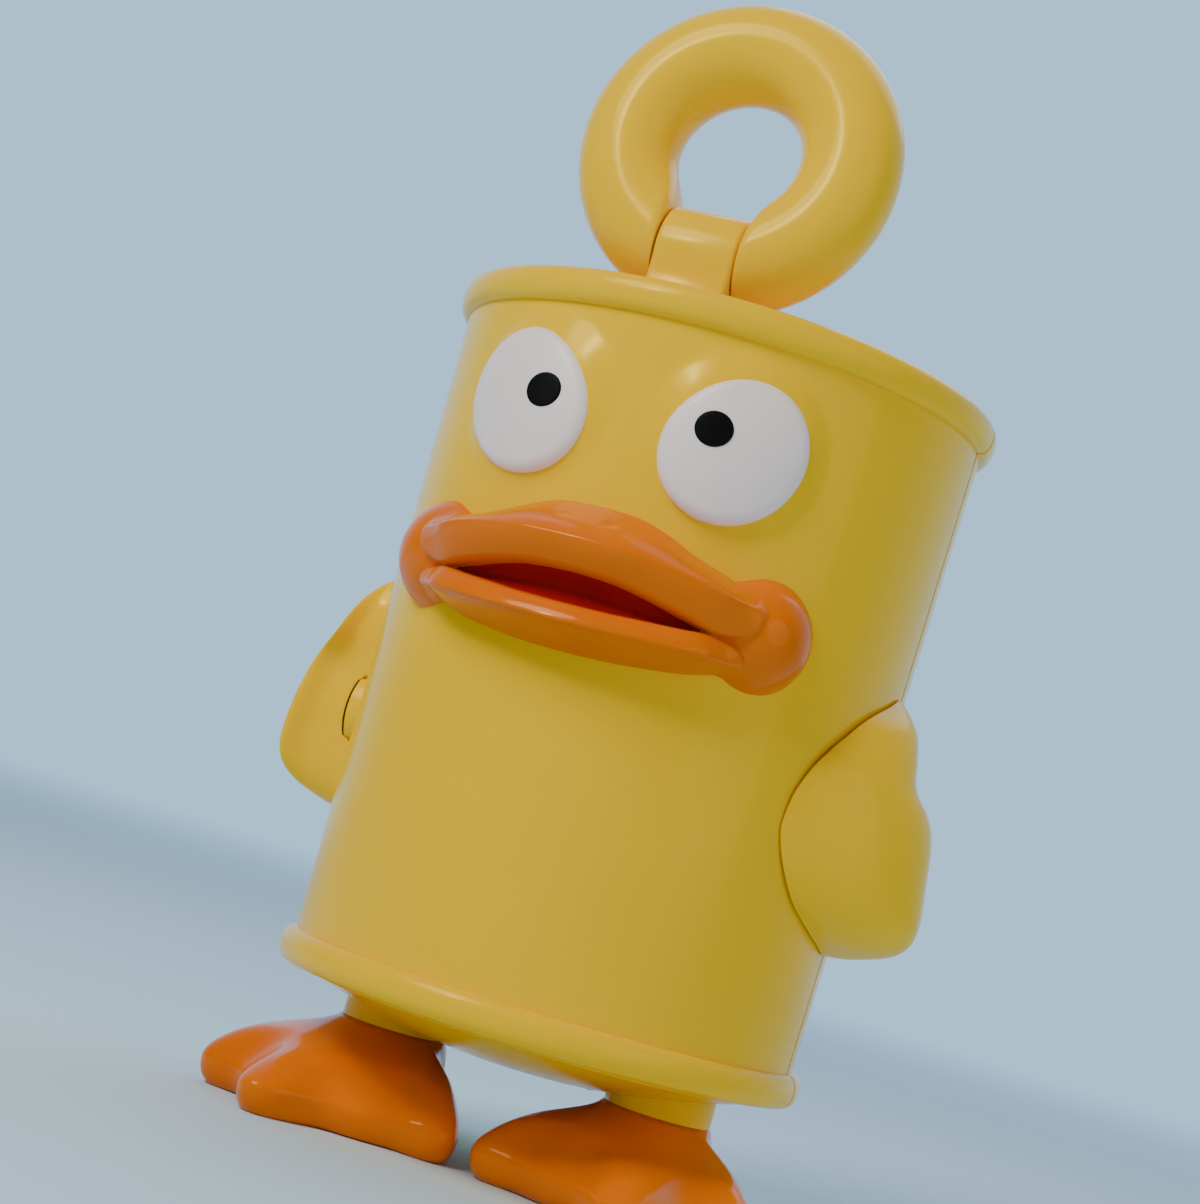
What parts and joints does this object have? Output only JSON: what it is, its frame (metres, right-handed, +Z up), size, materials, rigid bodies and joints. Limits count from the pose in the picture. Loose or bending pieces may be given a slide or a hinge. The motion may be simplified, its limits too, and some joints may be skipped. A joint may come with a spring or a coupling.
{
  "type": "floating chlorine dispenser",
  "caption": "Duck-in-a-can pool chlorine float with a twist-off tablet base, flow dial, swinging carry ring, swivelling wings and webbed feet.",
  "frame": {"origin": "on the can's axis, at the floor under the two soles", "axes": "+Z up along the can's axis, face towards -Y, +X towards the duck's left wing"},
  "size_m": [0.1472, 0.127, 0.2427],
  "materials": {
    "yellow_shell": "satin gloss moulded yellow",
    "orange_vinyl": "glossy moulded orange",
    "eye_white": "satin off-white",
    "pupil_black": "matt black",
    "mouth_red": "satin dark red",
    "natural_plastic": "natural moulded polypropylene",
    "dial_grey": "moulded grey",
    "stainless": "plain stainless",
    "ballast_iron": "coated",
    "seal_rubber": "moulded rubber"
  },
  "bodies": {
    "can": {"front_shell": "yellow_shell", "back_shell": "yellow_shell", "tablet_chamber": "natural_plastic", "ballast_ring": "ballast_iron", "shell_screws": "stainless", "eye_left": "eye_white", "eye_right": "eye_white", "pupil_left": "pupil_black", "pupil_right": "pupil_black", "bill": "orange_vinyl", "mouth_liner": "mouth_red", "push_nuts": "stainless", "ring_bracket": "yellow_shell", "bracket_screws": "stainless", "wing_seal_left": "seal_rubber", "wing_seal_right": "seal_rubber"},
    "ring": {"carry_ring": "yellow_shell", "ring_pin": "stainless"},
    "left_wing": {"wing_left": "yellow_shell", "wing_axle_left": "stainless", "wing_clip_left": "stainless"},
    "right_wing": {"wing_right": "yellow_shell", "wing_axle_right": "stainless", "wing_clip_right": "stainless"},
    "base": {"base_cap": "yellow_shell", "cap_seal": "seal_rubber", "dial_pivot": "stainless", "tablet_basket": "natural_plastic", "foot_left": "orange_vinyl", "foot_right": "orange_vinyl", "foot_screws": "stainless"},
    "dial": {"flow_dial": "dial_grey"}
  },
  "joints": [
    {"name": "ring_swing", "type": "hinge", "parent": "can", "child": "ring", "pos_m": [0, -0.037, 0.1864], "axis": [1, 0, 0], "range_deg": [-84, 82]},
    {"name": "left_wing_swivel", "type": "hinge", "parent": "can", "child": "left_wing", "pos_m": [0.055, 0, 0.0828], "axis": [1, 0, 0], "range_deg": [-5, 5]},
    {"name": "right_wing_swivel", "type": "hinge", "parent": "can", "child": "right_wing", "pos_m": [-0.055, 0, 0.0828], "axis": [1, 0, 0], "range_deg": [-5, 5]},
    {"name": "cap_twist", "type": "hinge", "parent": "can", "child": "base", "pos_m": [0, 0, 0.029], "axis": [0, 0, 1], "range_deg": [0, 30]},
    {"name": "dial_twist", "type": "hinge", "parent": "base", "child": "dial", "pos_m": [0, 0, 0.023], "axis": [0, 0, 1], "range_deg": [0, 45]}
  ]
}
